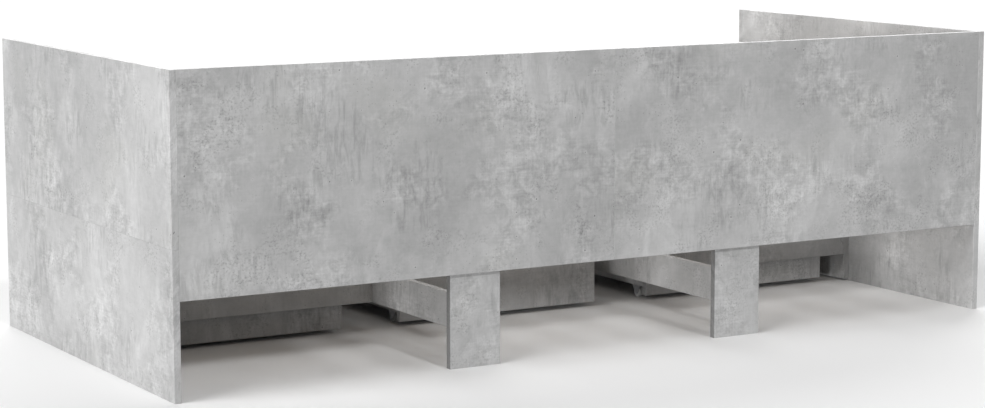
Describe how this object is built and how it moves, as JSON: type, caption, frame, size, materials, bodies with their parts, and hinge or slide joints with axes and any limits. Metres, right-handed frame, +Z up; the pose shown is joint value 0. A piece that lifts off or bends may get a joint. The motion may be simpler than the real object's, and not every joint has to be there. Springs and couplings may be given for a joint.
{
  "type": "storage daybed",
  "caption": "Low daybed of grey concrete-look board with high ends and back, a slatted deck, and storage drawers that roll out at the front on castors.",
  "frame": {"origin": "on the floor, in the middle of the length and of the depth", "axes": "+X along the length towards the right end as seen from the front, +Y towards the back panel, +Z up; the drawers open towards -Y"},
  "size_m": [2.03, 0.94, 0.65],
  "materials": {
    "concrete_laminate": "matt concrete-look laminate on particle board",
    "slat_plywood": "satin plywood",
    "batten_pine": "planed pine",
    "castor_zinc": "zinc-plated pressed steel",
    "wheel_plastic": "matt light grey nylon"
  },
  "bodies": {
    "frame": {"left_end_lower": "concrete_laminate", "left_end_upper": "concrete_laminate", "right_end_lower": "concrete_laminate", "right_end_upper": "concrete_laminate", "back_panel_left": "concrete_laminate", "back_panel_right": "concrete_laminate", "front_rail_left": "concrete_laminate", "front_rail_right": "concrete_laminate", "rear_leg_left": "concrete_laminate", "rear_leg_right": "concrete_laminate", "front_leg_left": "concrete_laminate", "front_leg_right": "concrete_laminate", "cross_stretcher_left": "concrete_laminate", "cross_stretcher_right": "concrete_laminate", "left_side_board": "concrete_laminate", "right_side_board": "concrete_laminate", "mid_stretcher_left": "concrete_laminate", "mid_stretcher_right": "concrete_laminate", "rear_batten": "batten_pine", "front_batten": "batten_pine", "slat_roll": "slat_plywood"},
    "drawer_left": {"drawer_left_front": "concrete_laminate", "drawer_left_back": "concrete_laminate", "drawer_left_bottom": "concrete_laminate", "drawer_left_left_side": "concrete_laminate", "drawer_left_right_side": "concrete_laminate", "drawer_left_castor_front_left": "castor_zinc", "drawer_left_castor_front_right": "castor_zinc", "drawer_left_castor_rear_left": "castor_zinc", "drawer_left_castor_rear_right": "castor_zinc"},
    "drawer_left_wheel_front_left": {"drawer_left_wheel_front_left": "wheel_plastic"},
    "drawer_left_wheel_front_right": {"drawer_left_wheel_front_right": "wheel_plastic"},
    "drawer_left_wheel_rear_left": {"drawer_left_wheel_rear_left": "wheel_plastic"},
    "drawer_left_wheel_rear_right": {"drawer_left_wheel_rear_right": "wheel_plastic"},
    "drawer_middle": {"drawer_middle_front": "concrete_laminate", "drawer_middle_back": "concrete_laminate", "drawer_middle_bottom": "concrete_laminate", "drawer_middle_left_side": "concrete_laminate", "drawer_middle_right_side": "concrete_laminate", "drawer_middle_castor_front_left": "castor_zinc", "drawer_middle_castor_front_right": "castor_zinc", "drawer_middle_castor_rear_left": "castor_zinc", "drawer_middle_castor_rear_right": "castor_zinc"},
    "drawer_middle_wheel_front_left": {"drawer_middle_wheel_front_left": "wheel_plastic"},
    "drawer_middle_wheel_front_right": {"drawer_middle_wheel_front_right": "wheel_plastic"},
    "drawer_middle_wheel_rear_left": {"drawer_middle_wheel_rear_left": "wheel_plastic"},
    "drawer_middle_wheel_rear_right": {"drawer_middle_wheel_rear_right": "wheel_plastic"},
    "drawer_right": {"drawer_right_front": "concrete_laminate", "drawer_right_back": "concrete_laminate", "drawer_right_bottom": "concrete_laminate", "drawer_right_left_side": "concrete_laminate", "drawer_right_right_side": "concrete_laminate", "drawer_right_castor_front_left": "castor_zinc", "drawer_right_castor_front_right": "castor_zinc", "drawer_right_castor_rear_left": "castor_zinc", "drawer_right_castor_rear_right": "castor_zinc"},
    "drawer_right_wheel_front_left": {"drawer_right_wheel_front_left": "wheel_plastic"},
    "drawer_right_wheel_front_right": {"drawer_right_wheel_front_right": "wheel_plastic"},
    "drawer_right_wheel_rear_left": {"drawer_right_wheel_rear_left": "wheel_plastic"},
    "drawer_right_wheel_rear_right": {"drawer_right_wheel_rear_right": "wheel_plastic"}
  },
  "joints": [
    {"name": "drawer_left_slide", "type": "slide", "parent": "frame", "child": "drawer_left", "axis": [0, -1, 0], "range_m": [0, 0.47]},
    {"name": "drawer_left_wheel_front_left_spin", "type": "hinge", "parent": "drawer_left", "child": "drawer_left_wheel_front_left", "pos_m": [-0.9097, -0.414, 0.012], "axis": [1, 0, 0], "continuous": true},
    {"name": "drawer_left_wheel_front_right_spin", "type": "hinge", "parent": "drawer_left", "child": "drawer_left_wheel_front_right", "pos_m": [-0.42363, -0.414, 0.012], "axis": [1, 0, 0], "continuous": true},
    {"name": "drawer_left_wheel_rear_left_spin", "type": "hinge", "parent": "drawer_left", "child": "drawer_left_wheel_rear_left", "pos_m": [-0.9097, -0.069, 0.012], "axis": [1, 0, 0], "continuous": true},
    {"name": "drawer_left_wheel_rear_right_spin", "type": "hinge", "parent": "drawer_left", "child": "drawer_left_wheel_rear_right", "pos_m": [-0.42363, -0.069, 0.012], "axis": [1, 0, 0], "continuous": true},
    {"name": "drawer_middle_slide", "type": "slide", "parent": "frame", "child": "drawer_middle", "axis": [0, -1, 0], "range_m": [0, 0.47]},
    {"name": "drawer_middle_wheel_front_left_spin", "type": "hinge", "parent": "drawer_middle", "child": "drawer_middle_wheel_front_left", "pos_m": [-0.24303, -0.414, 0.012], "axis": [1, 0, 0], "continuous": true},
    {"name": "drawer_middle_wheel_front_right_spin", "type": "hinge", "parent": "drawer_middle", "child": "drawer_middle_wheel_front_right", "pos_m": [0.24303, -0.414, 0.012], "axis": [1, 0, 0], "continuous": true},
    {"name": "drawer_middle_wheel_rear_left_spin", "type": "hinge", "parent": "drawer_middle", "child": "drawer_middle_wheel_rear_left", "pos_m": [-0.24303, -0.069, 0.012], "axis": [1, 0, 0], "continuous": true},
    {"name": "drawer_middle_wheel_rear_right_spin", "type": "hinge", "parent": "drawer_middle", "child": "drawer_middle_wheel_rear_right", "pos_m": [0.24303, -0.069, 0.012], "axis": [1, 0, 0], "continuous": true},
    {"name": "drawer_right_slide", "type": "slide", "parent": "frame", "child": "drawer_right", "axis": [0, -1, 0], "range_m": [0, 0.47]},
    {"name": "drawer_right_wheel_front_left_spin", "type": "hinge", "parent": "drawer_right", "child": "drawer_right_wheel_front_left", "pos_m": [0.42363, -0.414, 0.012], "axis": [1, 0, 0], "continuous": true},
    {"name": "drawer_right_wheel_front_right_spin", "type": "hinge", "parent": "drawer_right", "child": "drawer_right_wheel_front_right", "pos_m": [0.9097, -0.414, 0.012], "axis": [1, 0, 0], "continuous": true},
    {"name": "drawer_right_wheel_rear_left_spin", "type": "hinge", "parent": "drawer_right", "child": "drawer_right_wheel_rear_left", "pos_m": [0.42363, -0.069, 0.012], "axis": [1, 0, 0], "continuous": true},
    {"name": "drawer_right_wheel_rear_right_spin", "type": "hinge", "parent": "drawer_right", "child": "drawer_right_wheel_rear_right", "pos_m": [0.9097, -0.069, 0.012], "axis": [1, 0, 0], "continuous": true}
  ]
}
